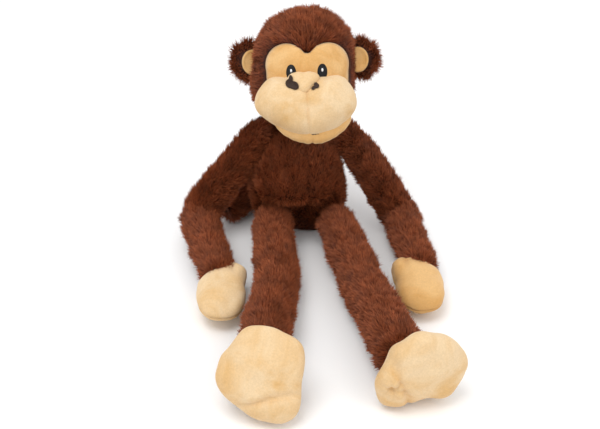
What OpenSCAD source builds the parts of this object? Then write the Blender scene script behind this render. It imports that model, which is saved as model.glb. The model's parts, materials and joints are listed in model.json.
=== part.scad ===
// Long-limbed plush monkey, sitting with its legs stretched out in front.
// The origin is the middle of the seat under the torso, on the ground. The monkey faces -Y and +Z is up,
// so its own right side is at -X. Every bend of the soft body is a ball held in a cup about one centre.

/* [Torso] */
// Radius of the torso at its fullest
torso_r = 46; // [42:1:56]
// Half height of the torso before its seat is flattened
torso_rz = 64; // [58:1:80]
// How far the torso leans back from upright, in degrees
torso_lean = 12; // [0:1:20]
// Depth of the torso's rounded bottom that the seat flattens away
seat_flat = 6; // [3:0.5:9]

/* [Head] */
// Radius of the round crown of the head
crown_r = 50; // [44:1:60]
// How far the face is turned up, in degrees
head_tilt = 25; // [0:1:30]
// How far the head is tipped towards its right shoulder, in degrees
head_tip = 4; // [0:1:8]
// Half width of the muzzle
muzzle_rx = 46; // [38:1:54]
// Radius of the muzzle round its long way
muzzle_r = 32; // [26:1:38]
// Radius of one ear
ear_r = 24; // [19:1:29]
// Radius of the round neck that the head turns on
neck_r = 19; // [14:1:23]

/* [Arms and tail] */
// Radius of the arm tubes, pile included
arm_r = 21; // [16:0.5:24]
// Length from shoulder to elbow
upper_arm_len = 96; // [80:1:115]
// Length from elbow to wrist
forearm_len = 91; // [76:1:110]
// Radius of the hand mitt
hand_r = 19; // [15:1:23]
// Half length of the hand mitt
hand_rl = 32; // [26:1:38]
// Radius of the tail tube, pile included
tail_r = 17; // [13:0.5:18]
// Length of each half of the tail
tail_len = 49; // [44:1:60]

/* [Legs] */
// Radius of the leg tubes at the hip, pile included
thigh_r = 22; // [18:0.5:25]
// Radius of the leg tubes at the ankle, pile included
shin_r = 24; // [20:0.5:27]
// Length from hip to knee
thigh_len = 94; // [85:1:112]
// Length from knee to ankle
shin_len = 120; // [100:1:144]
// Radius of the foot pad, seen from its sole
foot_r = 39; // [32:1:46]
// Half thickness of the foot pad
foot_rt = 17; // [14:1:20]

/* [Fabric] */
// Thickness of the long-pile fabric, backing and pile together
pile_wall = 5; // [3:0.5:7]
// Thickness of the short-pile fabric of the face, hands and feet
fleece_wall = 2; // [1:0.25:3]
// Space between a ball and the cup that it turns in
joint_gap = 0.4; // [0.3:0.1:0.8]
// Space between a filling and the fabric round it
fill_gap = 0.3; // [0.2:0.1:0.6]
// How far embroidery stands above the fabric
thread_rise = 1.2; // [0.6:0.1:2]

/* [Hidden] */

// Directions of the limbs as [azimuth, pitch] in degrees, for the right and the left side
upper_arm_dir = [[-153, -47], [-16, -56]];
forearm_dir = [[-75, -5], [-82, 0]];
hand_dir = [[-80, -4], [-94, -4]];
thigh_dir = [[-86, -1], [-77, -1]];
shin_dir = [[-95, 3], [-75, 3]];
tail_base_dir = [161, -8];
tail_tip_dir = [-126, -2];
// Turn, roll and tilt of the feet in degrees, and where the pad sits from the ankle, right then left
foot_turn = [[-33, -4, 0], [0, 78, 12]];
foot_place = [[0, -27, -8], [-8, -27, 8]];

// Widest bend that two tubes leave room for: each narrows to its ball within this half angle
bend_cone = 40;
// Narrower half angles where a limb leaves the torso
shoulder_cone = 30;
hip_cone = 25;
tail_cone = 35;
// Swing of the thighs that the torso leaves room for, down and up from lying forward
hip_down = 82;
hip_up = 22;
hip_side_gap = 1.5;
big = 400;
// Bands in the outline of a rounded body, and the turn that keeps its seam off the sewing planes
bun_steps = 18;
bun_seam = 33;
curve = 64;
fine = 32;

// Bottom of the torso's rounded body is below the seat by seat_flat
torso_c = [0, 2, torso_rz - seat_flat];
// The shoulders sit just outside the torso, so that the arms swing past its sides
shoulder_x = torso_r + 2;
hip_x = 32;
hip_z = thigh_r + 4;
hip_y = -18;

function polar(d) = [cos(d[1]) * cos(d[0]), cos(d[1]) * sin(d[0]), sin(d[1])];
function lean(p) = [p[0], p[1] * cos(torso_lean) + p[2] * sin(torso_lean),
    p[2] * cos(torso_lean) - p[1] * sin(torso_lean)];
function side_x(side, x) = side == 0 ? -x : x;
function shoulder(side) = torso_c + lean([side_x(side, shoulder_x), 2.5, 0.7 * torso_rz]);
function elbow(side) = shoulder(side) + upper_arm_len * polar(upper_arm_dir[side]);
function wrist(side) = elbow(side) + forearm_len * polar(forearm_dir[side]);
function hip(side) = [side_x(side, hip_x), hip_y, hip_z];
function knee(side) = hip(side) + thigh_len * polar(thigh_dir[side]);
function ankle(side) = knee(side) + shin_len * polar(shin_dir[side]);

neck_c = torso_c + lean([0, 0, torso_rz - 1]);
// How far the head's own origin is above and in front of the neck, along the tilted head
head_up = crown_r - 5;
head_forward = 19;
head_c = neck_c + [0, head_up * sin(head_tilt) - head_forward * cos(head_tilt),
    head_up * cos(head_tilt) + head_forward * sin(head_tilt)];
// The crown's centre is this far above the head's own origin
crown_z = 13;
// The seam between the crown's two panels passes in front of the neck
crown_seam_y = -3;
wrist_r = arm_r - 3;
knee_r = (thigh_r + shin_r) / 2 - 1;
ankle_r = shin_r - 4;

muzzle_c = [0, 12 - crown_r, 8 - muzzle_r];
// Mouth seam: a wide arc that smiles, lowest at mouth_z
mouth_z = muzzle_c[2] - 0.65 * muzzle_r;
mouth_r = 59;
// Brow lobes of the mask
lobe_x = 17.5;
lobe_z = 17;
lobe_r = 21;
// Half width of the mask where it runs down behind the muzzle
cheek_x = lobe_x + lobe_r - 2;
eye_x = 14.5;
eye_z = 10.5;
eye_rw = 5.4;
eye_rh = 7.2;
glint_r = 1.5;
nose_c = muzzle_c + [0, -0.4 * muzzle_r, 0.83 * muzzle_r];
nose_r = 9;
nose_half = 15;
nostril_x = 11;
nostril_c = muzzle_c + [0, -0.66 * muzzle_r, 0.72 * muzzle_r];
nostril_r = 4.6;
stitch_x = 9;
stitch_len = 8;
stitch_r = 1;
ear_c = [crown_r + 3, 2, crown_z + 2];
ear_rt = 8;
ear_front_r = 12;
ear_front_rt = 4;

// The tail leaves the torso low at the back, far enough out to lie along its side
tail_root = torso_c + [0, torso_r - 7, hip_z - torso_c[2]];
tail_bend = tail_root + tail_len * polar(tail_base_dir);

brown = [0.33, 0.17, 0.09];
beige = [0.92, 0.78, 0.58];
white = [0.95, 0.94, 0.9];

// ---------- shared shapes ----------

// Half outline of a rounded body: radius r, half height h
function bun_outline(r, h) = [for (i = [0:bun_steps]) let (t = -90 + 180 * i / bun_steps)
    [i == 0 || i == bun_steps ? 0 : r * cos(t), h * sin(t)]];

// Rounded body turned about Z, with radius r and half height h, taken in by inset all round
module bun(r, h, inset = 0) {
    rotate([0, 0, bun_seam]) rotate_extrude($fn = curve) polygon(bun_outline(r - inset, h - inset));
}

// Turns +Z along a direction given as [azimuth, pitch]
module aim(from, dir) {
    translate(from) rotate([0, 90 - dir[1], dir[0]]) children();
}

// A stuffed tube along +Z: it narrows by a cone at each end, ends in a ball and starts with a cup
module limb(len, r, cones, cup, ball, inset) {
    low = inset / sin(cones[0]);
    high = len - inset / sin(cones[1]);
    difference() {
        union() {
            rotate_extrude($fn = curve) polygon([
                [0, low],
                [r[0] - inset, low + (r[0] - inset) / tan(cones[0])],
                [r[1] - inset, high - (r[1] - inset) / tan(cones[1])],
                [0, high]
            ]);
            translate([0, 0, len]) sphere(r = ball - inset, $fn = curve);
        }
        sphere(r = cup + joint_gap + inset, $fn = curve);
    }
}

module limb_skin(len, r, cones, cup, ball) {
    difference() {
        limb(len, r, cones, cup, ball, 0);
        limb(len, r, cones, cup, ball, pile_wall);
    }
}

module limb_fill(len, r, cones, cup, ball) {
    limb(len, r, cones, cup, ball, pile_wall + fill_gap);
}

// Half space on one side of a plane through the origin, chosen by the sign along an axis
module half(axis, sign) {
    translate([for (i = [0:2]) i == axis ? sign * big / 2 : 0]) cube(big, center = true);
}

// ---------- torso ----------

// Outline of the wedge that a thigh sweeps, in [Y, Z] from the hip: forward is -Y
function wedge_outline() = [[0, 0],
    for (i = [0:3]) let (t = 180 - hip_up - hip_cone + i * (hip_up + hip_down + 2 * hip_cone) / 3)
        [big * cos(t), big * sin(t)]];

// Room for the thighs: the hip balls, and the wedge that each thigh sweeps
module hip_room(extra) {
    room = thigh_r + joint_gap + extra;
    for (side = [0, 1]) translate(hip(side)) {
        sphere(r = room, $fn = curve);
        rotate([90, 0, 90]) linear_extrude(2 * (room + hip_side_gap), center = true)
            polygon(wedge_outline());
    }
}

// What the limbs, the neck and the tail take out of the torso
module torso_rooms(extra) {
    hip_room(extra);
    for (side = [0, 1]) translate(shoulder(side)) sphere(r = arm_r + joint_gap + extra, $fn = curve);
    translate(neck_c) sphere(r = neck_r + joint_gap + extra, $fn = curve);
    translate(tail_root) sphere(r = tail_r + joint_gap + extra, $fn = curve);
}

module torso_frame() {
    translate(torso_c) rotate([-torso_lean, 0, 0]) children();
}

module torso_body(inset) {
    intersection() {
        torso_frame() bun(torso_r, torso_rz, inset);
        translate([0, 0, inset]) half(2, 1);
    }
}

module torso_skin() {
    difference() {
        torso_body(0);
        torso_body(pile_wall);
        torso_rooms(0);
    }
}

module belly_panel(side) {
    color(brown) intersection() {
        torso_skin();
        torso_frame() half(1, -1);
        half(0, side == 0 ? -1 : 1);
    }
}

module back_panel() {
    color(brown) intersection() {
        torso_skin();
        torso_frame() half(1, 1);
    }
}

module torso_stuffing() {
    color(white) difference() {
        torso_body(pile_wall + fill_gap);
        torso_rooms(fill_gap);
    }
}

module neck_core() {
    color(brown) translate(neck_c) sphere(r = neck_r, $fn = curve);
}

// ---------- head, in its own frame: the face looks along -Y ----------

module head_place() {
    translate(head_c) rotate([-head_tilt, 0, 0]) rotate([0, -head_tip, 0]) children();
}

module neck_room(extra) {
    translate(neck_c) sphere(r = neck_r + joint_gap + extra, $fn = curve);
}

module crown_body(inset) {
    translate([0, 0, crown_z]) rotate([0, 0, 90]) sphere(r = crown_r - inset, $fn = curve);
}

module muzzle_body(inset) {
    translate(muzzle_c) rotate([0, 90, 0]) bun(muzzle_r, muzzle_rx, inset);
}

// Front view outline of the mask, drawn through the head's front
module mask_prism() {
    translate([0, -crown_r / 4, 0]) rotate([90, 0, 0]) linear_extrude(crown_r) union() {
        for (s = [-1, 1]) translate([s * lobe_x, lobe_z]) circle(r = lobe_r, $fn = curve);
        translate([-cheek_x, muzzle_c[2]]) square([2 * cheek_x, lobe_z - muzzle_c[2]]);
    }
}

module crown_skin() {
    difference() {
        crown_body(0);
        crown_body(pile_wall);
    }
}

module crown_front() {
    color(brown) head_place() difference() {
        intersection() {
            crown_skin();
            translate([0, crown_seam_y, 0]) half(1, -1);
        }
        mask_prism();
    }
}

module crown_back() {
    color(brown) difference() {
        head_place() intersection() {
            crown_skin();
            translate([0, crown_seam_y, 0]) half(1, 1);
        }
        neck_room(0);
    }
}

module face_mask() {
    color(beige) head_place() intersection() {
        crown_skin();
        mask_prism();
    }
}

module head_stuffing() {
    color(white) difference() {
        head_place() crown_body(pile_wall + fill_gap);
        neck_room(fill_gap);
    }
}

module muzzle_skin() {
    difference() {
        muzzle_body(0);
        muzzle_body(fleece_wall);
        crown_body(0);
    }
}

// Everything above the mouth seam
module above_mouth() {
    translate([0, 0, mouth_z + mouth_r]) rotate([90, 0, 0])
        cylinder(h = big, r = mouth_r, center = true, $fn = 2 * curve);
}

module muzzle(side) {
    color(beige) head_place() intersection() {
        muzzle_skin();
        above_mouth();
        half(0, side == 0 ? -1 : 1);
    }
}

module chin_panel() {
    color(beige) head_place() difference() {
        muzzle_skin();
        above_mouth();
    }
}

module muzzle_stuffing() {
    color(white) head_place() difference() {
        muzzle_body(fleece_wall + fill_gap);
        crown_body(-fill_gap);
    }
}

module nose_body() {
    translate(nose_c) rotate([0, 90, 0]) bun(nose_r, nose_half);
}

module nose_panel() {
    color(beige) head_place() difference() {
        nose_body();
        muzzle_body(0);
        crown_body(0);
    }
}

module nostril(side) {
    color("saddlebrown") head_place() difference() {
        translate([side_x(side, nostril_x), 0, 0] + nostril_c) sphere(r = nostril_r, $fn = fine);
        muzzle_body(0);
        nose_body();
    }
}

// A layer of thread on the mask, inside an oval with half sizes w and h
module thread_oval(side, w, h, rise) {
    intersection() {
        difference() {
            crown_body(-rise);
            crown_body(0);
        }
        translate([side_x(side, eye_x), 0, eye_z]) rotate([90, 0, 0])
            scale([w, h, 1]) cylinder(h = big, r = 1, $fn = fine);
    }
}

module eye(side) {
    color("black") head_place() difference() {
        thread_oval(side, eye_rw, eye_rh, thread_rise);
        thread_oval(side, glint_r, glint_r, 2 * thread_rise);
        muzzle_body(0);
        nose_body();
    }
}

module eye_glint(side) {
    color("white") head_place() thread_oval(side, glint_r, glint_r, thread_rise);
}

// A short row of thread laid on the muzzle along the mouth seam
module mouth_stitch() {
    color("black") head_place() intersection() {
        difference() {
            muzzle_body(-thread_rise);
            muzzle_body(0);
        }
        translate([stitch_x - stitch_len / 2, muzzle_c[1] - muzzle_r, mouth_z])
            cube([stitch_len, muzzle_r, 2 * stitch_r]);
    }
}

module ear_front_body(side) {
    translate([side_x(side, ear_c[0]), ear_c[1] - ear_rt + 1, ear_c[2]]) rotate([90, 0, 0])
        bun(ear_front_r, ear_front_rt);
}

module ear_back(side) {
    color(brown) head_place() difference() {
        translate([side_x(side, ear_c[0]), ear_c[1], ear_c[2]]) rotate([90, 0, 0])
            bun(ear_r, ear_rt);
        crown_body(0);
        ear_front_body(side);
    }
}

module ear_front(side) {
    color(beige) head_place() difference() {
        ear_front_body(side);
        crown_body(0);
    }
}

// ---------- arms ----------

module upper_arm(side) {
    color(brown) aim(shoulder(side), upper_arm_dir[side]) union() {
        limb_skin(upper_arm_len, [arm_r, arm_r], [shoulder_cone, bend_cone], 0, arm_r);
        difference() {
            sphere(r = arm_r, $fn = curve);
            sphere(r = arm_r - pile_wall, $fn = curve);
            limb(upper_arm_len, [arm_r, arm_r], [shoulder_cone, bend_cone], 0, arm_r, pile_wall);
        }
    }
}

module upper_arm_fill(side) {
    color(white) aim(shoulder(side), upper_arm_dir[side])
        limb_fill(upper_arm_len, [arm_r, arm_r], [shoulder_cone, bend_cone], 0, arm_r);
}

module forearm(side) {
    color(brown) aim(elbow(side), forearm_dir[side])
        limb_skin(forearm_len, [arm_r, arm_r], [bend_cone, bend_cone], arm_r, wrist_r);
}

module forearm_fill(side) {
    color(white) aim(elbow(side), forearm_dir[side])
        limb_fill(forearm_len, [arm_r, arm_r], [bend_cone, bend_cone], arm_r, wrist_r);
}

// The mitt, with its thumb towards the legs
module hand_body(side, inset) {
    thumb_y = side == 0 ? 1 : -1;
    difference() {
        union() {
            translate([0, 0, hand_rl]) bun(hand_r, hand_rl, inset);
            translate([0, thumb_y * 0.75 * hand_r, 0.6 * hand_rl])
                sphere(r = 0.45 * hand_r - inset, $fn = curve);
        }
        sphere(r = wrist_r + joint_gap + inset, $fn = curve);
    }
}

module hand_panel(side, sign) {
    color(beige) aim(wrist(side), hand_dir[side]) intersection() {
        difference() {
            hand_body(side, 0);
            hand_body(side, fleece_wall);
        }
        half(0, sign);
    }
}

module hand_fill(side) {
    color(white) aim(wrist(side), hand_dir[side]) hand_body(side, fleece_wall + fill_gap);
}

// ---------- legs ----------

module thigh(side) {
    color(brown) aim(hip(side), thigh_dir[side]) union() {
        limb_skin(thigh_len, [thigh_r, thigh_r], [hip_cone, bend_cone], 0, knee_r);
        difference() {
            sphere(r = thigh_r, $fn = curve);
            sphere(r = thigh_r - pile_wall, $fn = curve);
            limb(thigh_len, [thigh_r, thigh_r], [hip_cone, bend_cone], 0, knee_r, pile_wall);
        }
    }
}

module thigh_fill(side) {
    color(white) aim(hip(side), thigh_dir[side])
        limb_fill(thigh_len, [thigh_r, thigh_r], [hip_cone, bend_cone], 0, knee_r);
}

module shin(side) {
    color(brown) aim(knee(side), shin_dir[side])
        limb_skin(shin_len, [thigh_r, shin_r], [bend_cone, bend_cone], knee_r, ankle_r);
}

module shin_fill(side) {
    color(white) aim(knee(side), shin_dir[side])
        limb_fill(shin_len, [thigh_r, shin_r], [bend_cone, bend_cone], knee_r, ankle_r);
}

module foot_at(side) {
    translate(ankle(side)) rotate([0, 0, foot_turn[side][2]])
        rotate([0, foot_turn[side][1], 0]) rotate([foot_turn[side][0], 0, 0]) children();
}

module foot_body(side, inset) {
    difference() {
        translate(foot_place[side]) rotate([90, 0, 0]) bun(foot_r, foot_rt, inset);
        sphere(r = ankle_r + joint_gap + inset, $fn = curve);
    }
}

module foot_panel(side, sign) {
    color(beige) foot_at(side) intersection() {
        difference() {
            foot_body(side, 0);
            foot_body(side, fleece_wall);
        }
        translate([0, foot_place[side][1], 0]) half(1, sign);
    }
}

module foot_fill(side) {
    color(white) foot_at(side) foot_body(side, fleece_wall + fill_gap);
}

// ---------- tail ----------

module tail_base() {
    color(brown) aim(tail_root, tail_base_dir) union() {
        limb_skin(tail_len, [tail_r, tail_r], [tail_cone, bend_cone], 0, tail_r);
        difference() {
            sphere(r = tail_r, $fn = curve);
            sphere(r = tail_r - pile_wall, $fn = curve);
            limb(tail_len, [tail_r, tail_r], [tail_cone, bend_cone], 0, tail_r, pile_wall);
        }
    }
}

module tail_base_fill() {
    color(white) aim(tail_root, tail_base_dir)
        limb_fill(tail_len, [tail_r, tail_r], [tail_cone, bend_cone], 0, tail_r);
}

module tail_tip() {
    color(brown) aim(tail_bend, tail_tip_dir)
        limb_skin(tail_len, [tail_r, tail_r], [bend_cone, bend_cone], tail_r, tail_r);
}

module tail_tip_fill() {
    color(white) aim(tail_bend, tail_tip_dir)
        limb_fill(tail_len, [tail_r, tail_r], [bend_cone, bend_cone], tail_r, tail_r);
}

belly_panel(0);  // belly_panel_right
belly_panel(1);  // belly_panel_left
back_panel();
torso_stuffing();
neck_core();
crown_front();
crown_back();
head_stuffing();
face_mask();
muzzle(0);  // muzzle_right
muzzle(1);  // muzzle_left
chin_panel();
muzzle_stuffing();
nose_panel();
nostril(0);  // nostril_right
nostril(1);  // nostril_left
eye(0);  // eye_right
eye(1);  // eye_left
eye_glint(0);  // eye_glint_right
eye_glint(1);  // eye_glint_left
mouth_stitch();
ear_back(0);  // ear_back_right
ear_back(1);  // ear_back_left
ear_front(0);  // ear_front_right
ear_front(1);  // ear_front_left
upper_arm(0);  // upper_arm_right
upper_arm_fill(0);  // upper_arm_fill_right
forearm(0);  // forearm_right
forearm_fill(0);  // forearm_fill_right
hand_panel(0, -1);  // hand_back_right
hand_panel(0, 1);  // hand_palm_right
hand_fill(0);  // hand_fill_right
upper_arm(1);  // upper_arm_left
upper_arm_fill(1);  // upper_arm_fill_left
forearm(1);  // forearm_left
forearm_fill(1);  // forearm_fill_left
hand_panel(1, -1);  // hand_back_left
hand_panel(1, 1);  // hand_palm_left
hand_fill(1);  // hand_fill_left
thigh(0);  // thigh_right
thigh_fill(0);  // thigh_fill_right
shin(0);  // shin_right
shin_fill(0);  // shin_fill_right
foot_panel(0, -1);  // foot_sole_right
foot_panel(0, 1);  // foot_upper_right
foot_fill(0);  // foot_fill_right
thigh(1);  // thigh_left
thigh_fill(1);  // thigh_fill_left
shin(1);  // shin_left
shin_fill(1);  // shin_fill_left
foot_panel(1, -1);  // foot_sole_left
foot_panel(1, 1);  // foot_upper_left
foot_fill(1);  // foot_fill_left
tail_base();
tail_base_fill();
tail_tip();
tail_tip_fill();
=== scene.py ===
# %% [markdown]
# # A long-limbed plush monkey
# The toy is sewn from two fabrics: brown plush with a long soft pile, and beige fleece with a pile too short to see.
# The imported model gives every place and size. Each stuffed part is modelled as the bag that its fabric makes, and
# the long pile is grown on top as thousands of small tufts, because it is what gives this toy its outline.

# %% Load the frame
import json
import math
import bmesh
import bpy
from mathutils import Matrix, Vector, noise
from mathutils.bvhtree import BVHTree


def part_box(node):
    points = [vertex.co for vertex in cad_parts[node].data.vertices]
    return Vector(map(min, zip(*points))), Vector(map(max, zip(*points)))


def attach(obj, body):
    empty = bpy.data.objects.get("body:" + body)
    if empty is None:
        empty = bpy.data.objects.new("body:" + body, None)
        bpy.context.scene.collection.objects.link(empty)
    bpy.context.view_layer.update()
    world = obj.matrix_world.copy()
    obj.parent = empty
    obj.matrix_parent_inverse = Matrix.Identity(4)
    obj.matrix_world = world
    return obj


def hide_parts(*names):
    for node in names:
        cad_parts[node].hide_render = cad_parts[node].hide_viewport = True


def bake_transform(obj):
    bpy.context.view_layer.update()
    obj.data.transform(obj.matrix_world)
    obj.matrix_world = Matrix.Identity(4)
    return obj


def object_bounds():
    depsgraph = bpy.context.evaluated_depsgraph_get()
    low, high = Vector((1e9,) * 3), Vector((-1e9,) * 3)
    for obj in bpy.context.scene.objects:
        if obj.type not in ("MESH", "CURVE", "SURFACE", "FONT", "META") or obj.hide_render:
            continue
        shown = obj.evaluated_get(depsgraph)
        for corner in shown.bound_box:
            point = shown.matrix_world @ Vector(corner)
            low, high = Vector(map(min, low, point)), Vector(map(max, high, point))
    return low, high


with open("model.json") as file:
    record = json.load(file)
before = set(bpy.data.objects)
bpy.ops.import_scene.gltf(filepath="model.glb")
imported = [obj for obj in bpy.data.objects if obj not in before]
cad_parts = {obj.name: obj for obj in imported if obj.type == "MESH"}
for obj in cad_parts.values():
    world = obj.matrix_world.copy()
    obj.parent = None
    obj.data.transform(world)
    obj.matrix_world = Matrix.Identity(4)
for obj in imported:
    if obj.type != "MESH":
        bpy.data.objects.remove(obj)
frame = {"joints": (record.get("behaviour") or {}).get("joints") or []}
cad_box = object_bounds()
mm = 0.001
floor_z = cad_box[0][2]
joint = {j["name"]: Vector(j["pos_m"]) for j in frame["joints"]}
SIDES = {"right": -1, "left": 1}
print("joints:", len(joint), "box:", [[round(v, 3) for v in c] for c in cad_box])

# %% [markdown]
# ## Helpers
# A material and a node group are both trees of nodes, so one small function adds a node, sets its options and
# joins its inputs. Colours are written as sRGB hex, as on a dyer's chart, and turned to linear light once.

# %% One function for every node, one for every colour
def add(tree, kind, options=None, inputs=None):
    node = tree.nodes.new(kind)
    for name, value in (options or {}).items():
        setattr(node, name, value)
    for name, value in (inputs or {}).items():
        if isinstance(value, bpy.types.NodeSocket):
            tree.links.new(value, node.inputs[name])
        else:
            node.inputs[name].default_value = value
    return node


def dye(text):
    parts = [int(text[i:i + 2], 16) / 255 for i in (1, 3, 5)]
    return (*[p / 12.92 if p <= 0.04045 else ((p + 0.055) / 1.055) ** 2.4 for p in parts], 1.0)


def cloth_material(name, roughness, sheen, sheen_tint):
    material = bpy.data.materials.new(name)
    material.use_nodes = True
    shader = material.node_tree.nodes["Principled BSDF"]
    shader.inputs["Roughness"].default_value = roughness
    shader.inputs["Specular IOR Level"].default_value = 0.25
    shader.inputs["Sheen Weight"].default_value = sheen
    shader.inputs["Sheen Roughness"].default_value = 0.5
    shader.inputs["Sheen Tint"].default_value = dye(sheen_tint)
    return material, material.node_tree, shader


# %% [markdown]
# ## Long-pile plush
# Polyester pile is dyed through, but looks dark at its roots, where little light gets in, and paler and redder at
# its tips, where the light catches it. Stroking it leaves soft patches where the pile lies another way. So the
# colour runs along each tuft by its own attribute, with painted shade at the root and a painted highlight at the
# tip, and a slow noise in millimetres shifts it from patch to patch.

# %% Brown polyester plush
def plush_material():
    material, tree, shader = cloth_material("brown_polyester_plush", 0.6, 0.12, "#d08050")
    along = add(tree, "ShaderNodeAttribute", {"attribute_name": "tip"})
    tuft = add(tree, "ShaderNodeAttribute", {"attribute_name": "tuft"})
    place = add(tree, "ShaderNodeTexCoord")
    stroke = add(tree, "ShaderNodeTexNoise", None,
                 {"Vector": place.outputs["Object"], "Scale": 1 / (15 * mm), "Detail": 4.0, "Roughness": 0.68})
    # Painted shade at the root of each tuft, and a painted highlight at its tip
    ramp = add(tree, "ShaderNodeValToRGB", None, {"Fac": along.outputs["Fac"]})
    ramp.color_ramp.elements[0].color = dye("#371407")
    ramp.color_ramp.elements[1].color = dye("#a05834")
    middle = ramp.color_ramp.elements.new(0.4)
    middle.color = dye("#6c2f15")
    shift = add(tree, "ShaderNodeMapRange", None,
                {"Value": stroke.outputs["Fac"], "From Min": 0.3, "From Max": 0.7, "To Min": 0.6, "To Max": 1.35})
    each = add(tree, "ShaderNodeMapRange", None,
               {"Value": tuft.outputs["Fac"], "To Min": 0.75, "To Max": 1.2})
    both = add(tree, "ShaderNodeMath", {"operation": "MULTIPLY"},
               {0: shift.outputs["Result"], 1: each.outputs["Result"]})
    colour = add(tree, "ShaderNodeVectorMath", {"operation": "SCALE"},
                 {0: ramp.outputs["Color"], "Scale": both.outputs["Value"]})
    tree.links.new(colour.outputs["Vector"], shader.inputs["Base Color"])
    return material


plush = plush_material()

# %% [markdown]
# ## Short-pile fleece
# The face, hands and feet are a velvety fleece, sheared to about a millimetre. Single fibres are too fine to see,
# so it gets a bright edge from sheen, a fine grain in the bump, and pale and orange patches where the pile leans.

# %% Beige sheared fleece
def fleece_material(name, pale, deep, patch_mm):
    material, tree, shader = cloth_material(name, 0.8, 0.35, "#fff0d8")
    place = add(tree, "ShaderNodeTexCoord")
    lean = add(tree, "ShaderNodeTexNoise", None,
               {"Vector": place.outputs["Object"], "Scale": 1 / (patch_mm * mm), "Detail": 4.0, "Roughness": 0.55,
                "Distortion": 0.6})
    ramp = add(tree, "ShaderNodeValToRGB", None, {"Fac": lean.outputs["Fac"]})
    ramp.color_ramp.elements[0].position = 0.34
    ramp.color_ramp.elements[1].position = 0.62
    ramp.color_ramp.elements[0].color = dye(deep)
    ramp.color_ramp.elements[1].color = dye(pale)
    grain = add(tree, "ShaderNodeTexNoise", None,
                {"Vector": place.outputs["Object"], "Scale": 1 / (1.6 * mm), "Detail": 5.0, "Roughness": 0.7})
    speck = add(tree, "ShaderNodeMapRange", None,
                {"Value": grain.outputs["Fac"], "From Min": 0.3, "From Max": 0.7, "To Min": 0.9, "To Max": 1.07})
    colour = add(tree, "ShaderNodeVectorMath", {"operation": "SCALE"},
                 {0: ramp.outputs["Color"], "Scale": speck.outputs["Result"]})
    nap = add(tree, "ShaderNodeBump", None,
              {"Height": grain.outputs["Fac"], "Strength": 0.35, "Distance": 0.6 * mm})
    tree.links.new(colour.outputs["Vector"], shader.inputs["Base Color"])
    tree.links.new(nap.outputs["Normal"], shader.inputs["Normal"])
    return material


fleece = fleece_material("beige_sheared_fleece", "#e0c49c", "#d4ab72", 34)
# A darker, oranger copy of the same beige fleece, with painted shade in its colour, for the mask, chin roll, ear
# linings and left hand
fleece_painted_shade = fleece_material("beige_fleece_with_painted_shade", "#dbb076", "#cd9a58", 26)

# %% [markdown]
# ## Embroidery
# Eyes and nostrils are satin stitch: threads laid side by side, which shine in a narrow band. A wave across the
# threads, half a millimetre apart on the real toy and drawn here at 0.8 mm so that it shows, gives the bump and,
# painted into the colour, light on each thread's crest and shade in the grooves between them.

# %% Polyester embroidery thread
def thread_material(name, colour, roughness):
    material, tree, shader = cloth_material(name, roughness, 0.0, "#ffffff")
    place = add(tree, "ShaderNodeTexCoord")
    threads = add(tree, "ShaderNodeTexWave", {"bands_direction": "DIAGONAL"},
                  {"Vector": place.outputs["Object"], "Scale": 0.32 / (0.8 * mm), "Distortion": 0.6})
    # Painted light and shade: the thread colour is raised on each crest of the wave and lowered in its grooves
    tint = add(tree, "ShaderNodeMapRange", None, {"Value": threads.outputs["Fac"], "To Min": 0.7, "To Max": 1.25})
    shade = add(tree, "ShaderNodeVectorMath", {"operation": "SCALE"},
                {0: dye(colour)[:3], "Scale": tint.outputs["Result"]})
    bump = add(tree, "ShaderNodeBump", None,
               {"Height": threads.outputs["Fac"], "Strength": 0.5, "Distance": 0.3 * mm})
    tree.links.new(shade.outputs["Vector"], shader.inputs["Base Color"])
    tree.links.new(bump.outputs["Normal"], shader.inputs["Normal"])
    return material


black_thread = thread_material("black_satin_stitch", "#101216", 0.38)
brown_thread = thread_material("dark_brown_satin_stitch", "#35241c", 0.5)
white_thread = thread_material("white_satin_stitch", "#f2f4f6", 0.5)

# %% [markdown]
# ## Growing the pile
# Hair particles would be lost when the model is exported, so the pile is real mesh: a node group scatters points
# over the fabric, stands a three-sided spike on each, and makes them real. Which way a tuft lies is read from
# the fabric itself: every vertex stores the number of its neighbour downstream, and the direction to it combs the
# pile. That still holds when the fabric bends at a joint, because both points move.

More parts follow.
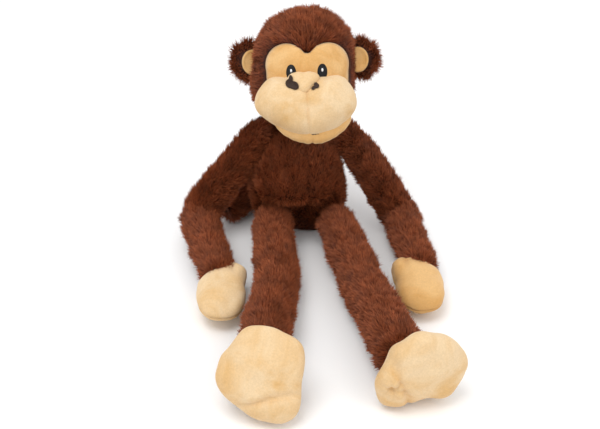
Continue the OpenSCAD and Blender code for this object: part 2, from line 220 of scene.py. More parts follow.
# %% A tuft, and the node group that sows it
def pile_group(name, length, width, spacing, stand, mess, seed):
    tree = bpy.data.node_groups.new(name, "GeometryNodeTree")
    tree.interface.new_socket("Geometry", in_out="INPUT", socket_type="NodeSocketGeometry")
    tree.interface.new_socket("Geometry", in_out="OUTPUT", socket_type="NodeSocketGeometry")
    fabric = add(tree, "NodeGroupInput").outputs["Geometry"]
    position = add(tree, "GeometryNodeInputPosition").outputs["Position"]
    maths = "ShaderNodeVectorMath"

    # Comb direction and pile height, read on the fabric before it is scattered
    onward = add(tree, "GeometryNodeInputNamedAttribute", {"data_type": "INT"}, {"Name": "downstream"})
    there = add(tree, "GeometryNodeSampleIndex", {"data_type": "FLOAT_VECTOR", "domain": "POINT"},
                {"Geometry": fabric, "Value": position, "Index": onward.outputs["Attribute"]})
    away = add(tree, maths, {"operation": "SUBTRACT"}, {0: there.outputs["Value"], 1: position})
    combed = add(tree, maths, {"operation": "NORMALIZE"}, {0: away.outputs["Vector"]})
    height = add(tree, "GeometryNodeInputNamedAttribute", {"data_type": "FLOAT"}, {"Name": "pile"})
    keep = add(tree, "GeometryNodeCaptureAttribute", {"domain": "POINT"})
    keep.capture_items.new("VECTOR", "comb")
    keep.capture_items.new("FLOAT", "height")
    tree.links.new(fabric, keep.inputs["Geometry"])
    tree.links.new(combed.outputs["Vector"], keep.inputs["comb"])
    tree.links.new(height.outputs["Attribute"], keep.inputs["height"])
    points = add(tree, "GeometryNodeDistributePointsOnFaces", None,
                 {"Mesh": keep.outputs["Geometry"], "Density": 1 / spacing ** 2, "Seed": seed})

    # A tuft stands up, leans the combed way, swirls with its neighbours and strays a little by itself
    swirl = add(tree, "ShaderNodeTexNoise", None, {"Vector": position, "Scale": 1 / (7 * mm), "Detail": 2.0})
    centred = add(tree, maths, {"operation": "SUBTRACT"}, {0: swirl.outputs["Color"], 1: (0.5, 0.5, 0.5)})
    stray = add(tree, maths, {"operation": "SCALE"}, {0: centred.outputs["Vector"], "Scale": 6 * mess})
    lone = add(tree, "FunctionNodeRandomValue", {"data_type": "FLOAT_VECTOR"},
               {"Min": (-mess, -mess, -mess), "Max": (mess, mess, mess), "Seed": seed + 1})
    upright = add(tree, maths, {"operation": "SCALE"}, {0: points.outputs["Normal"], "Scale": stand})
    lean = add(tree, maths, {"operation": "ADD"}, {0: upright.outputs["Vector"], 1: keep.outputs["comb"]})
    loose = add(tree, maths, {"operation": "ADD"}, {0: stray.outputs["Vector"], 1: lone.outputs["Value"]})
    aim = add(tree, maths, {"operation": "ADD"}, {0: lean.outputs["Vector"], 1: loose.outputs["Vector"]})
    turn = add(tree, "FunctionNodeAlignRotationToVector", {"axis": "Z"}, {"Vector": aim.outputs["Vector"]})

    # One tuft: a thin closed spike of four triangles, because there are tens of thousands of them
    tuft = add(tree, "GeometryNodeMeshCone", {"fill_type": "NGON"},
               {"Vertices": 3, "Side Segments": 1, "Radius Top": 0.0, "Radius Bottom": width / 2, "Depth": length})
    up = add(tree, "ShaderNodeSeparateXYZ", None, {"Vector": position})
    along = add(tree, "ShaderNodeMath", {"operation": "DIVIDE"}, {0: up.outputs["Z"], 1: length})
    marked = add(tree, "GeometryNodeStoreNamedAttribute", {"data_type": "FLOAT", "domain": "POINT"},
                 {"Geometry": tuft.outputs["Mesh"], "Name": "tip", "Value": along.outputs["Value"]})
    size = add(tree, "FunctionNodeRandomValue", {"data_type": "FLOAT"}, {2: 0.7, 3: 1.25, "Seed": seed + 2})
    grown = add(tree, "ShaderNodeMath", {"operation": "MULTIPLY"},
                {0: size.outputs[1], 1: keep.outputs["height"]})
    sown = add(tree, "GeometryNodeInstanceOnPoints", None,
               {"Points": points.outputs["Points"], "Instance": marked.outputs["Geometry"],
                "Rotation": turn.outputs["Rotation"], "Scale": grown.outputs["Value"]})
    number = add(tree, "FunctionNodeRandomValue", {"data_type": "FLOAT"}, {"Seed": seed + 3})
    named = add(tree, "GeometryNodeStoreNamedAttribute", {"data_type": "FLOAT", "domain": "INSTANCE"},
                {"Geometry": sown.outputs["Instances"], "Name": "tuft", "Value": number.outputs[1]})
    real = add(tree, "GeometryNodeRealizeInstances", None, {"Geometry": named.outputs["Geometry"]})
    dyed = add(tree, "GeometryNodeSetMaterial", None, {"Geometry": real.outputs["Geometry"], "Material": plush})
    both = add(tree, "GeometryNodeJoinGeometry")
    tree.links.new(dyed.outputs["Geometry"], both.inputs["Geometry"])
    tree.links.new(fabric, both.inputs["Geometry"])
    result = add(tree, "NodeGroupOutput")
    tree.links.new(both.outputs["Geometry"], result.inputs["Geometry"])
    return tree


body_pile = pile_group("body_pile", 8 * mm, 1.3 * mm, 0.76 * mm, 0.7, 0.42, 4)
ear_pile = pile_group("ear_pile", 11 * mm, 1.3 * mm, 0.7 * mm, 0.5, 0.45, 9)
print("pile groups:", body_pile.name, ear_pile.name)

# %% [markdown]
# ## From a ball to a bag
# Every stuffed part starts as a UV ball, because a stuffed bag is a ball that its seams hold in. A function moves
# each point of the unit ball to its place on the part. Stuffing is never even, so a slow noise then pushes the
# fabric in and out by a millimetre or so.

# %% Bags and how they are finished
def ball(across, along):
    bm = bmesh.new()
    bmesh.ops.create_uvsphere(bm, u_segments=across, v_segments=along, radius=1)
    return bm


def comb_towards(bm, rank):
    """Stores, on every vertex, the neighbour that the pile lies towards: the one that rank puts first."""
    layer = bm.verts.layers.int.new("downstream")
    bm.verts.index_update()
    for v in bm.verts:
        near = [e.other_vert(v) for e in v.link_edges]
        v[layer] = max(near + [v], key=lambda w: rank(w.co)).index


def set_pile(bm, height):
    layer = bm.verts.layers.float.new("pile")
    for v in bm.verts:
        v[layer] = height(v.co)


def near_floor(co):
    """Pile that the toy sits on is pressed flat."""
    return min(max((co.z - floor_z) / (9 * mm), 0.15), 1.0)


def shape(bm, place):
    for v in bm.verts:
        v.co = place(v.co.copy())
    bmesh.ops.recalc_face_normals(bm, faces=bm.faces)
    bm.normal_update()


def lumps(bm, size, depth, offset=0.0, floor=None):
    """Uneven stuffing: pushes the fabric in and out, size apart and depth deep, and rests it on the floor."""
    shift = Vector((offset, offset, offset))
    moved = [v.co + v.normal * depth * noise.noise(v.co / size + shift) for v in bm.verts]
    for v, co in zip(bm.verts, moved):
        v.co = co
        if floor is not None:
            v.co.z = max(co.z, floor)
    bm.normal_update()


def finish_piece(bm, name, material, body=None):
    mesh = bpy.data.meshes.new(name)
    bm.to_mesh(mesh)
    bm.free()
    mesh.materials.append(material)
    for face in mesh.polygons:
        face.use_smooth = True
    piece = bpy.data.objects.new(name, mesh)
    bpy.context.scene.collection.objects.link(piece)
    if body:
        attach(piece, body)
    return piece


def grow_pile(piece, group):
    modifier = piece.modifiers.new("pile", "NODES")
    modifier.node_group = group


# %% [markdown]
# ## Sleeves: arms, legs and tail
# Each limb is one long tube of plush, turned and stuffed, so it bends in a soft curve and not at a hinge. The
# curve runs through the joint centres. The ball's rows are spread along it, and its round ends close the tube.

# %% A tube along a smooth line
def smooth_line(points, count):
    ends = [2 * points[0] - points[1]] + points + [2 * points[-1] - points[-2]]
    fine = []
    for a, b, c, d in zip(ends, ends[1:], ends[2:], ends[3:]):
        for i in range(40):
            t = i / 40
            fine.append(0.5 * (2 * b + (c - a) * t + (2 * a - 5 * b + 4 * c - d) * t ** 2
                               + (3 * b - a - 3 * c + d) * t ** 3))
    fine.append(points[-1])
    run = [0.0]
    for a, b in zip(fine, fine[1:]):
        run.append(run[-1] + (b - a).length)
    line, j = [], 0
    for i in range(count + 1):
        want = run[-1] * i / count
        while j < len(run) - 2 and run[j + 1] < want:
            j += 1
        step = (want - run[j]) / max(run[j + 1] - run[j], 1e-9)
        line.append(fine[j].lerp(fine[j + 1], min(max(step, 0), 1)))
    return line, run[-1]


def sleeve(points, radius, across=36, along=110):
    """A closed tube from the first point to the last. radius(t) is its radius, t from 0 to 1 along it."""
    count = 160
    line, length = smooth_line(points, count)
    turn = Vector((0, 0, 1)).rotation_difference((line[1] - line[0]).normalized())
    frames = []
    for i in range(count + 1):
        ahead = (line[min(i + 1, count)] - line[max(i - 1, 0)]).normalized()
        turn = (turn @ Vector((0, 0, 1))).rotation_difference(ahead) @ turn
        frames.append(turn.copy())
    bm = ball(across, along)
    comb_towards(bm, lambda co: co.z)

    def place(co):
        t = (1 - co.z) / 2
        at = min(int(t * count + 0.5), count)
        low = min(int(t * count), count - 1)
        centre = line[low].lerp(line[low + 1], t * count - low)
        round_end = radius(t) / length
        cap = min(t, 1 - t) / round_end
        fat = radius(t) * (math.sqrt(max(1 - (1 - cap) ** 2, 0)) if cap < 1 else 1.0)
        flat = Vector((co.x, co.y, 0))
        if flat.length > 1e-9:
            flat.normalize()
        return centre + frames[at] @ (flat * fat)

    shape(bm, place)
    return bm, length


# %% Arms
def arm(side):
    shoulder, elbow, wrist = (joint[k + side] for k in ("shoulder_swing_", "elbow_bend_", "wrist_flex_"))
    upper, fore = (elbow - shoulder).normalized(), (wrist - elbow).normalized()
    bow = (upper - fore).normalized()
    yoke = shoulder + Vector((-SIDES[side] * 17, 2, 11)) * mm
    points = [yoke, shoulder + (yoke - shoulder) * 0.1 + bow * 3 * mm,
              shoulder.lerp(elbow, 0.5) + bow * 3 * mm, elbow - bow * 2 * mm,
              elbow.lerp(wrist, 0.5) + bow * 2 * mm, wrist + fore * 10 * mm]
    bm, length = sleeve(points, lambda t: (13.9 - 1.0 * math.cos(2 * math.pi * t)) * mm)
    lumps(bm, 22 * mm, 2.4 * mm, SIDES[side], floor_z + 2 * mm)
    set_pile(bm, near_floor)
    piece = finish_piece(bm, "arm_sleeve_" + side, plush)
    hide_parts(*[n + side for n in ("upper_arm_", "upper_arm_fill_", "forearm_", "forearm_fill_")])
    grow_pile(piece, body_pile)
    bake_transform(piece)
    print(piece.name, "length mm", round(length / mm))


# %% Legs
def leg(side):
    hip, knee, ankle = (joint[k + side] for k in ("hip_swing_", "knee_bend_", "ankle_flex_"))
    thigh, shin = (knee - hip).normalized(), (ankle - knee).normalized()
    points = [hip - thigh * 8 * mm, hip.lerp(knee, 0.5), knee, knee.lerp(ankle, 0.5), ankle + shin * 12 * mm]
    bm, length = sleeve(points, lambda t: (15.0 + 4.4 * t) * mm)
    lumps(bm, 24 * mm, 2.6 * mm, 3 + SIDES[side], floor_z + 2 * mm)
    set_pile(bm, near_floor)
    piece = finish_piece(bm, "leg_sleeve_" + side, plush)
    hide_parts(*[n + side for n in ("thigh_", "thigh_fill_", "shin_", "shin_fill_")])
    grow_pile(piece, body_pile)
    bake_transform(piece)
    print(piece.name, "length mm", round(length / mm))


# %% Tail
def tail():
    root, bend = joint["tail_swing"], joint["tail_curl"]
    low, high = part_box("tail_tip_fill")
    tip = Vector((low[0] + 5 * mm, low[1] + 3 * mm, (low[2] + high[2]) / 2))
    first, second = (bend - root).normalized(), (tip - bend).normalized()
    points = [root - first * 6 * mm, root.lerp(bend, 0.5), bend, tip]
    bm, length = sleeve(points, lambda t: (12.6 - 1.0 * t) * mm, along=80)
    lumps(bm, 20 * mm, 1.6 * mm, 7, floor_z + 2 * mm)
    set_pile(bm, near_floor)
    piece = finish_piece(bm, "tail_sleeve", plush)
    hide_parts("tail_base", "tail_base_fill", "tail_tip", "tail_tip_fill")
    grow_pile(piece, body_pile)
    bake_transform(piece)
    print(piece.name, "length mm", round(length / mm))


for side in SIDES:
    arm(side)
    leg(side)
tail()

# %% [markdown]
# ## Torso
# A pear of plush, leaning back a little. Its seams run down the middle of the belly and down both sides, and the
# fabric dips at each, because the thread pulls it in and the pile lies shorter there.

# %% Torso bag
lean = Matrix.Rotation(math.radians(-12), 4, "X")
up_axis = lean @ Vector((0, 0, 1))
torso_centre = joint["head_turn"] - up_axis * 63 * mm - Vector((6, 0, 0)) * mm
# The belly's seam has worked round towards the monkey's left side
seam_turn = Matrix.Rotation(math.radians(-17), 4, "Z")


def torso():
    bm = ball(96, 72)
    comb_towards(bm, lambda co: co.z)

    def place(co):
        wide = 44.5 - 4.5 * co.z - 6.0 * max(co.z, 0) ** 2
        deep = 36.5 - 3.5 * co.z if co.y > 0 else 36.5 + 24 * min(co.z + 0.1, 0)
        ring = math.sqrt(max(1 - co.z ** 2, 0)) ** (0.7 if co.z > 0 else 0.9)
        ring /= max(math.sqrt(max(1 - co.z ** 2, 0)), 1e-6)
        low = max(-co.z, 0) * max(-co.y, 0)
        local = Vector((co.x * wide * ring, co.y * deep * ring, co.z * 60 + 42 * low)) * mm
        local.y += 8 * mm * max(-co.z, 0) ** 2
        sewn = seam_turn @ local
        seam_x = 3.4 * math.exp(-(sewn.x / (2.6 * mm)) ** 2) if sewn.y < 0 else 0
        seam_y = 2.6 * math.exp(-(sewn.y / (2.6 * mm)) ** 2)
        local -= Vector((local.x, local.y, 0)).normalized() * (seam_x + seam_y) * mm
        world = torso_centre + lean @ local
        world.z = max(world.z, floor_z + 2.5 * mm)
        return world

    shape(bm, place)
    lumps(bm, 26 * mm, 2.6 * mm, 11, floor_z + 2 * mm)

    def height(co):
        sewn = seam_turn @ (lean.inverted() @ (co - torso_centre))
        near = min(abs(sewn.x) / (4 * mm) if sewn.y < 0 else 1, abs(sewn.y) / (3.5 * mm), 1)
        return (0.35 + 0.65 * near) * near_floor(co)

    set_pile(bm, height)
    piece = finish_piece(bm, "torso_bag", plush, "torso")
    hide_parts("belly_panel_right", "belly_panel_left", "back_panel", "torso_stuffing")
    grow_pile(piece, body_pile)


def neck():
    bm = ball(40, 24)
    comb_towards(bm, lambda co: co.z)
    shape(bm, lambda co: joint["head_turn"] + Vector((co.x * 15, co.y * 15, co.z * 14)) * mm)
    set_pile(bm, lambda co: 0.8)
    piece = finish_piece(bm, "neck_tube", plush, "neck")
    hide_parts("neck_core")
    grow_pile(piece, body_pile)


torso()
neck()

# %% [markdown]
# ## Head
# The head is a round crown of plush with a beige face let into it. Everything on it is made in the head's own
# frame, centred in the crown with the face along -Y, and then tilted back and tipped into place by one matrix.

# %% The head's own frame
low, high = (Vector(c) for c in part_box("head_stuffing"))
crown_centre = Vector(((low.x + high.x) / 2, (low.y + high.y) / 2, high.z - (high.y - low.y) / 2))
head_frame = (Matrix.Translation(crown_centre + Vector((2.5, 0, 0)) * mm) @ Matrix.Rotation(math.radians(-25), 4, "X")
              @ Matrix.Rotation(math.radians(-1.5), 4, "Y"))


def lobes(x, z):
    """True inside the mask's outline, in mm: two brow lobes and the cheeks under them."""
    x -= 1.8
    in_lobe = (abs(x) - 19.5) ** 2 + (z - 2.5) ** 2 < 20.2 ** 2
    bridge = abs(x) < 9 and 0 < z < 13.5 + 0.09 * x * x
    return in_lobe or bridge or (abs(x) < 39 and -22 < z < 3)


def crown_surface(x, z, r):
    return -math.sqrt(max(r * r - x * x - z * z, 0))


def on_head(bm):
    bmesh.ops.transform(bm, matrix=head_frame, verts=bm.verts)


# %% Crown
def crown():
    bm = ball(112, 84)
    bmesh.ops.rotate(bm, matrix=Matrix.Rotation(math.radians(90), 3, "X"), verts=bm.verts)
    comb_towards(bm, lambda co: co.y - 0.5 * co.z * abs(co.x))

    def place(co):
        wide, deep, tall = 46.5 + 14 * min(co.z, 0) * min(co.x, 0), 44, 52.5 if co.z > 0 else 52
        square = (1 - co.z ** 2) ** (-0.2 if co.z < 0 else -0.07) if abs(co.z) < 0.99 else 1.5
        local = Vector((co.x * wide * square, co.y * deep, co.z * tall))
        if local.y < 0 and lobes(local.x, local.z):
            local *= 0.9
        return local * mm

    shape(bm, place)
    lumps(bm, 28 * mm, 1.6 * mm, 5)

    def height(co):
        x, y, z = co / mm
        if y < 0 and lobes(x * 0.96, z * 0.96 + 1):
            return 0.02
        if y < 0 and lobes(x * 0.91, z * 0.91 + 1):
            return 0.35
        if y < 0 and lobes(x * 0.86, z * 0.86 + 1):
            return 0.65
        return 1.0

    set_pile(bm, height)
    on_head(bm)
    piece = finish_piece(bm, "head_crown", plush, "head")
    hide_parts("crown_front", "crown_back", "head_stuffing")
    grow_pile(piece, body_pile)


crown()

# %% [markdown]
# ## Round panels
# Masks, ears and embroidery are flat shapes cut from cloth. Each starts as a disc of rings: a circle whose middle
# face is inset again and again. A function then spreads the rings to the panel's outline.

# %% A disc of rings
def disc(across, rings):
    bm = bmesh.new()
    bmesh.ops.create_circle(bm, cap_ends=True, segments=across, radius=1)
    for i in range(rings - 1):
        middle = max(bm.faces, key=lambda f: len(f.verts))
        bmesh.ops.inset_individual(bm, faces=[middle], thickness=1 / rings, use_even_offset=False)
    bmesh.ops.poke(bm, faces=[max(bm.faces, key=lambda f: len(f.verts))])
    return bm


def reach(inside, angle, most):
    """How far an outline is from the middle in one direction."""
    low, high = 0.0, most
    for _ in range(22):
        half = (low + high) / 2
        if inside(half * math.cos(angle), half * math.sin(angle)):
            low = half
        else:
            high = half
    return low


def round_outline(points):
    """Radius by angle of a closed outline, as a smooth curve through a few points in mm."""
    polar = sorted((math.atan2(y, x), math.hypot(x, y)) for x, y in points)

    def radius(angle):
        n = len(polar)
        k = next((i for i in range(n) if polar[i][0] > angle), n)
        near = [polar[(k + j) % n] for j in (-2, -1, 0, 1)]
        span = (near[2][0] - near[1][0]) % (2 * math.pi)
        t = ((angle - near[1][0]) % (2 * math.pi)) / span
        a, b, c, d = (p[1] for p in near)
        return 0.5 * (2 * b + (c - a) * t + (2 * a - 5 * b + 4 * c - d) * t ** 2 + (3 * b - a - 3 * c + d) * t ** 3)

    return radius


# %% Face mask
skins = []


def front(x, z):
    """Where a line from in front first meets the face, in mm."""
    hits = [skin.ray_cast(Vector((x, -120, z)) * mm, Vector((0, 1, 0)))[0] for skin in skins]
    return min(hit.y for hit in hits if hit) / mm


def proud(x, z):
    """The front within 1.5 mm, so that stitches bridge the folds under them."""
    return min(front(x + dx, z + dz) for dx in (-1.5, 0, 1.5) for dz in (-1.5, 0, 1.5))


def mask_front(x, z):
    """The same on the mask alone, under the muzzle too."""
    hit = skins[0].ray_cast(Vector((x, -120, z)) * mm, Vector((0, 1, 0)))[0]
    return hit.y / mm


def face_mask():
    bm = disc(120, 22)

    def place(co):
        r, angle = co.xy.length, math.atan2(co.y, co.x)
        far = reach(lambda x, z: lobes(x, z - 8), angle, 62)
        x, z = r * far * math.cos(angle), r * far * math.sin(angle) - 8
        rim = 1 - min((1 - r) / 0.09, 1)
        y = crown_surface(x, z, 49.2 - 2.6 * rim ** 2 + 0.8 * (1 - r * r))
        brow = 1.3 * math.exp(-((abs(x) - 17) / 12) ** 2 - ((z - 14) / 8) ** 2)
        socket = 1.6 * math.exp(-((abs(x) - 14) / 9) ** 2 - ((z + 3) / 7) ** 2)
        return Vector((x, y - brow + socket, z)) * mm

    shape(bm, place)
    if sum(f.normal.y for f in bm.faces) > 0:
        bmesh.ops.reverse_faces(bm, faces=bm.faces)
    bmesh.ops.solidify(bm, geom=bm.faces, thickness=1.2 * mm)
    skins.append(BVHTree.FromBMesh(bm))
    on_head(bm)
    # The mask uses the fleece copy with painted shade
    piece = finish_piece(bm, "face_mask_panel", fleece_painted_shade, "head")
    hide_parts("face_mask")


face_mask()

# %% [markdown]
# ## Muzzle and chin
# The muzzle is a fat cushion of fleece, wider than it is tall, with square upper corners and a seam down its
# middle. Below the mouth seam a second, thinner roll makes the lower lip. The bag's pole points forward, so that
# its outline can be set ring by ring from a few points.

# %% Muzzle
muzzle_outline = round_outline([(0, 24), (20, 25.5), (34, 24), (41, 17), (45.5, 7), (46, -3), (42, -12),
                                (34, -20), (19, -29), (4, -34), (-12, -30.5), (-30, -21.5), (-41, -14),
                                (-49, -3), (-48.5, 7), (-42.5, 17), (-34, 24), (-20, 25.5)])
MUZZLE_Z = -33


def muzzle():
    bm = ball(144, 96)

    def place(co):
        angle = math.atan2(co.y, co.x)
        round_part = math.sqrt(max(1 - co.z ** 2, 0)) ** 0.72
        far = muzzle_outline(angle) * round_part
        x, z = far * math.cos(angle), far * math.sin(angle)
        ahead = max(co.z, 0)
        y = -37 - 28 * ahead ** 1.1 + 12 * max(-co.z, 0)
        y -= ahead * 2.2 * math.exp(-((abs(x) - 22) / 14) ** 2)
        seam = 1.3 * math.exp(-(x / 1.3) ** 2) + 1.2 * math.exp(-(x / 6) ** 2)
        y += seam * ahead ** 0.5
        x += 0.04 * max(24 - z, 0)
        return Vector((x, y, z + MUZZLE_Z)) * mm

    shape(bm, place)
    lumps(bm, 17 * mm, 0.9 * mm, 2)
    skins.append(BVHTree.FromBMesh(bm))
    on_head(bm)
    piece = finish_piece(bm, "muzzle_cushion", fleece, "head")
    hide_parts("muzzle_right", "muzzle_left", "muzzle_stuffing")


# %% Chin roll
def chin():
    bm = ball(40, 120)
    bmesh.ops.rotate(bm, matrix=Matrix.Rotation(math.radians(90), 3, "Y"), verts=bm.verts)

    def place(co):
        x = co.x * 37
        thin = max(1 - co.x ** 2, 0) ** 0.5
        ring = Vector((0, co.y, co.z)).normalized() if thin > 1e-6 else Vector()
        arc = 59 - math.sqrt(59 ** 2 - x * x)
        pucker = 0.2 * math.sin(x * 0.9) * thin * max(-ring.z, 0)
        y = -44 + arc * 0.5 + ring.y * (9.5 + pucker) * thin ** 0.8
        z = -60.5 + arc + ring.z * (10.8 + pucker) * thin ** 0.7
        z += 1.3 * math.exp(-(x / 1.6) ** 2) * max(-ring.z, 0)
        return Vector((x + 5, y, z)) * mm

    shape(bm, place)
    lumps(bm, 9 * mm, 0.7 * mm, 6)
    on_head(bm)
    # The chin roll uses the fleece copy with painted shade
    piece = finish_piece(bm, "chin_roll", fleece_painted_shade, "head")
    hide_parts("chin_panel")


muzzle()
chin()


# %% Nose panel
nose_outline = round_outline([(0, 9), (9, 9), (14.5, 5), (13, -1), (8, -7), (3, -12.5), (0, -13.5), (-3, -12.5),
                              (-8, -7), (-13, -1), (-14.5, 5), (-9, 9)])


def nose():
    bm = ball(64, 40)

    def place(co):
        angle = math.atan2(co.y, co.x)
        far = nose_outline(angle) * math.sqrt(max(1 - co.z ** 2, 0)) ** 0.8
        return Vector((far * math.cos(angle), -7.5 * co.z, far * math.sin(angle))) * mm

    shape(bm, place)
    lean_back = Matrix.Rotation(math.radians(-42), 4, "X")
    bmesh.ops.transform(bm, matrix=Matrix.Translation(Vector((-2, -53.5, -12)) * mm) @ lean_back, verts=bm.verts)
    lumps(bm, 8 * mm, 0.5 * mm, 3)
    skins.append(BVHTree.FromBMesh(bm))
    on_head(bm)
    piece = finish_piece(bm, "nose_cushion", fleece, "head")
    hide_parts("nose_panel")


nose()

# %% [markdown]
# ## Embroidered eyes, nostrils and mouth
# Each is a thin pad of thread on the cloth. A disc is spread to the shape, laid on the surface under it and given
# the thickness of satin stitch.

# %% Thread pads
def stitched(node, outline, centre, lift, material, surface):
    bm = disc(48, 8)

    def place(co):
        r, angle = co.xy.length, math.atan2(co.y, co.x)
        x = centre[0] + r * outline(angle) * math.cos(angle)
        z = centre[1] + r * outline(angle) * math.sin(angle)
        return Vector((x, surface(x, z) - lift * (1 - r ** 4), z)) * mm

    shape(bm, place)
    if sum(f.normal.y for f in bm.faces) > 0:
        bmesh.ops.reverse_faces(bm, faces=bm.faces)
    bmesh.ops.solidify(bm, geom=bm.faces, thickness=0.8 * mm)
    on_head(bm)
    piece = finish_piece(bm, node + "_pad", material, "head")
    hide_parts(node)


def oval(width, height):
    return lambda a: 1 / math.sqrt((math.cos(a) / width) ** 2 + (math.sin(a) / height) ** 2)


for side, sign in SIDES.items():
    stitched("eye_" + side, oval(4.7, 7.6), (sign * 14.5 + 1, -4), 1.0, black_thread, mask_front)
    stitched("eye_glint_" + side, oval(1.2, 1.9), (sign * 14.5 + 1, -2.2), 1.9, white_thread,
             mask_front)

nostril_big = round_outline([(-0.5, 7.5), (1.5, 2), (6.2, -4.7), (0, -4.5), (-5, -1.5), (-5.2, 1.5), (-2.5, 4)])
nostril_small = round_outline([(0, 3.4), (2.5, 2.2), (3.4, 0.2), (0, -1.8), (-3.8, -2.6), (-1.5, 0.5)])
stitched("nostril_right", nostril_big, (-13.5, -13), 0.8, brown_thread, proud)
stitched("nostril_left", nostril_small, (8.6, -16.2), 0.8, brown_thread, proud)


def mouth_stitch():
    bm = bmesh.new()
    for i in range(4):
        x, z = 5.2 + 2.4 * i, -61.2 + 0.1 * i
        at = Vector((x, front(x, z) - 0.2, z)) * mm
        made = bmesh.ops.create_uvsphere(bm, u_segments=10, v_segments=8, radius=0.5 * mm)["verts"]
        bmesh.ops.scale(bm, vec=(2.4, 1, 1), verts=made)
        bmesh.ops.translate(bm, vec=at, verts=made)
    on_head(bm)
    piece = finish_piece(bm, "mouth_thread", black_thread, "head")
    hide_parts("mouth_stitch")


mouth_stitch()

# %% [markdown]
# ## Ears
# Round and shaggy: the same plush left long, behind a small disc of beige fleece.

# %% Ears
def ear(side, sign):
    bm = ball(48, 32)
    comb_towards(bm, lambda co: co.xy.length)

    def place(co):
        return Vector((sign * 55 + co.x * 15, 5 + co.z * 5, 6 + co.y * 17.5)) * mm

    shape(bm, place)
    set_pile(bm, lambda co: 1.0 if co.y > 1 * mm or (co - Vector((sign * 55, 5, 6)) * mm).length > 13 * mm else 0.3)
    on_head(bm)
    piece = finish_piece(bm, "ear_plush_" + side, plush, "head")
    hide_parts("ear_back_" + side)
    grow_pile(piece, ear_pile)

    bm = disc(48, 8)

    def cup(co):
        r = co.xy.length
        return Vector((sign * 51 + co.x * 9, -2.5 + 2.2 * (1 - r * r) - 0.8 * (r > 0.9), 5 + co.y * 11)) * mm

    shape(bm, cup)
    if sum(f.normal.y for f in bm.faces) > 0:
        bmesh.ops.reverse_faces(bm, faces=bm.faces)
    bmesh.ops.solidify(bm, geom=bm.faces, thickness=2 * mm)
    on_head(bm)
    # The ear lining uses the fleece copy with painted shade
    piece = finish_piece(bm, "ear_lining_" + side, fleece_painted_shade, "head")
    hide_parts("ear_front_" + side)


for side, sign in SIDES.items():
    ear(side, sign)

# %% [markdown]
# ## Hands
# A mitt of two fleece panels, flat like a cushion, with a thumb stub on the inner side and the seam round its rim.

# %% Hands
hand_aim = {"right": (-80, -4), "left": (-94, -4)}


def aimed(at, angles):
    azimuth, pitch = (math.radians(a) for a in angles)
    return (Matrix.Translation(at) @ Matrix.Rotation(azimuth, 4, "Z")
            @ Matrix.Rotation(math.pi / 2 - pitch, 4, "Y"))


hand_outline = round_outline([(0, 31), (12, 28), (20, 18), (23, 4), (22, -10), (18, -23), (8, -32), (-6, -37),
                              (-19, -38), (-27, -30), (-26, -19), (-23, -6), (-22, 8), (-17, 22), (-9, 29)])


def hand(side, sign):
    bm = ball(96, 56)

    def place(co):
        angle = math.atan2(co.y, co.x)
        flat = math.sqrt(max(1 - co.z ** 2, 0))
        far = hand_outline(angle) * flat ** 0.8
        x, z = far * math.cos(angle), far * math.sin(angle)
        rim = 1.2 * math.exp(-(co.z / 0.07) ** 2)
        # The fold at the root of the thumb
        crease = 3.0 * math.exp(-((x + 14) / 3) ** 2 - ((z + 27) / 8) ** 2)
        thick = 14 + (3.0 if z < 0 else -3.0) * (z / 31) ** 2
        y = co.z * thick - math.copysign(min(crease, abs(co.z * thick)), co.z)
        far_in = 1 - rim / max(far, 1)
        return Vector((y, sign * x * far_in, z * far_in + 31)) * mm

    shape(bm, place)
    lumps(bm, 13 * mm, 1.4 * mm, 20 + sign)
    bmesh.ops.transform(bm, matrix=aimed(joint["wrist_flex_" + side], hand_aim[side]), verts=bm.verts)
    for v in bm.verts:
        v.co.z = max(v.co.z, floor_z + 0.4 * mm)
    # The left hand uses the fleece copy with painted shade, and the right hand uses the plain fleece
    cloth = fleece if side == "right" else fleece_painted_shade
    piece = finish_piece(bm, "hand_mitt_" + side, cloth, "hand_" + side)
    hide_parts("hand_back_" + side, "hand_palm_" + side, "hand_fill_" + side)


for side, sign in SIDES.items():
    hand(side, sign)

# %% [markdown]
# ## Feet
# Big soft pads whose soles face forward. The sole sags into a fold above the heel, and the seam gathers there.

# %% Feet
foot_turn = {"right": (-33, -4, 0), "left": (0, 78, 12)}
foot_place = {"right": (0, -27, -8), "left": (-8, -27, 8)}
foot_outline = round_outline([(-1, 41), (16, 38), (30, 30), (38, 18), (36, 3), (33, -14), (30, -30), (16, -41),
                              (-3, -37), (-20, -25), (-32, -14), (-37, 1), (-34, 15), (-20, 32)])


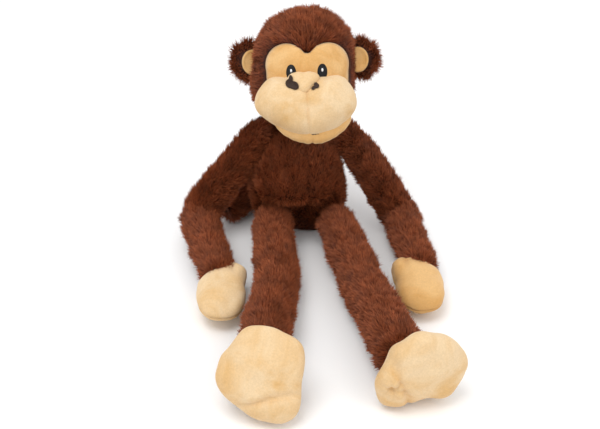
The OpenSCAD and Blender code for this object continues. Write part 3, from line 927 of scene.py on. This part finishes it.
def foot(side, sign):
    bm = ball(176, 96)

    def place(co):
        angle = math.atan2(co.y, co.x)
        flat = math.sqrt(max(1 - co.z ** 2, 0))
        far = foot_outline(angle) * flat ** 0.78
        x, z = far * math.cos(angle), far * math.sin(angle)
        front = max(co.z, 0)
        fold_line = -19 + 3 * math.sin(x / 14)
        fold = 4.5 * math.exp(-((z - fold_line) / 3.2) ** 2) * front ** 0.6
        thick = 16 - 2 * (z / 40) ** 2
        y = -co.z * thick + fold
        if side == "left" and front > 0:
            # The gathered end of the seam, with small pleats round it
            out, round_it = math.hypot(x - 4, z + 27), math.atan2(z + 27, x - 4)
            y += (6 * math.exp(-(out / 4) ** 2) + math.cos(6 * round_it) * math.exp(-((out - 8) / 5) ** 2)) * front
        return Vector((x, y, z)) * mm

    shape(bm, place)
    lumps(bm, 18 * mm, 3.0 * mm, 30 + sign)
    turn = [math.radians(a) for a in foot_turn[side]]
    matrix = (Matrix.Translation(joint["ankle_flex_" + side]) @ Matrix.Rotation(turn[2], 4, "Z")
              @ Matrix.Rotation(turn[1], 4, "Y") @ Matrix.Rotation(turn[0], 4, "X")
              @ Matrix.Translation(Vector(foot_place[side]) * mm))
    bmesh.ops.transform(bm, matrix=matrix, verts=bm.verts)
    for v in bm.verts:
        v.co.z = max(v.co.z, floor_z + 0.4 * mm)
    piece = finish_piece(bm, "foot_pad_" + side, fleece, "foot_" + side)
    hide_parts("foot_sole_" + side, "foot_upper_" + side, "foot_fill_" + side)


for side, sign in SIDES.items():
    foot(side, sign)

# %% [markdown]
# ## Floor, light and camera
# A pale sheet of paper, one big soft light from the front and above, and a white room that fills the shadows.

# %% Stage
def stage():
    bm = bmesh.new()
    bmesh.ops.create_grid(bm, x_segments=1, y_segments=1, size=6)
    bmesh.ops.translate(bm, vec=(0, 0, floor_z), verts=bm.verts)
    mesh = bpy.data.meshes.new("floor")
    bm.to_mesh(mesh)
    bm.free()
    paper = bpy.data.materials.new("white_paper")
    paper.use_nodes = True
    paper.node_tree.nodes["Principled BSDF"].inputs["Base Color"].default_value = dye("#fbfbfb")
    paper.node_tree.nodes["Principled BSDF"].inputs["Roughness"].default_value = 0.9
    mesh.materials.append(paper)
    floor = bpy.data.objects.new("floor", mesh)
    bpy.context.scene.collection.objects.link(floor)

    world = bpy.data.worlds.new("white_room")
    world.use_nodes = True
    world.node_tree.nodes["Background"].inputs["Color"].default_value = (1, 1, 1, 1)
    world.node_tree.nodes["Background"].inputs["Strength"].default_value = 0.9
    bpy.context.scene.world = world


def lamp(name, place, target, size, power):
    light = bpy.data.lights.new(name, "AREA")
    light.size = size
    light.energy = power
    holder = bpy.data.objects.new(name, light)
    holder.location = place
    holder.rotation_euler = (Vector(target) - Vector(place)).to_track_quat("-Z", "Y").to_euler()
    bpy.context.scene.collection.objects.link(holder)


def camera():
    elevation, distance = math.radians(35.4), 0.905
    target = Vector((-3.6, -128, 110)) * mm
    back = Vector((0, -math.cos(elevation), math.sin(elevation)))
    data = bpy.data.cameras.new("camera")
    data.sensor_width = 36
    data.lens = 60.9
    eye = bpy.data.objects.new("camera", data)
    eye.location = target + back * distance
    eye.rotation_euler = (-back).to_track_quat("-Z", "Y").to_euler()
    bpy.context.scene.collection.objects.link(eye)
    bpy.context.scene.camera = eye


stage()
lamp("key", (-0.35, -0.5, 1.6), (0, -0.1, 0.1), 0.9, 11)
lamp("fill", (0.9, -0.9, 1.0), (0, -0.1, 0.1), 0.8, 2.5)
camera()
bpy.context.scene.view_settings.view_transform = "Standard"
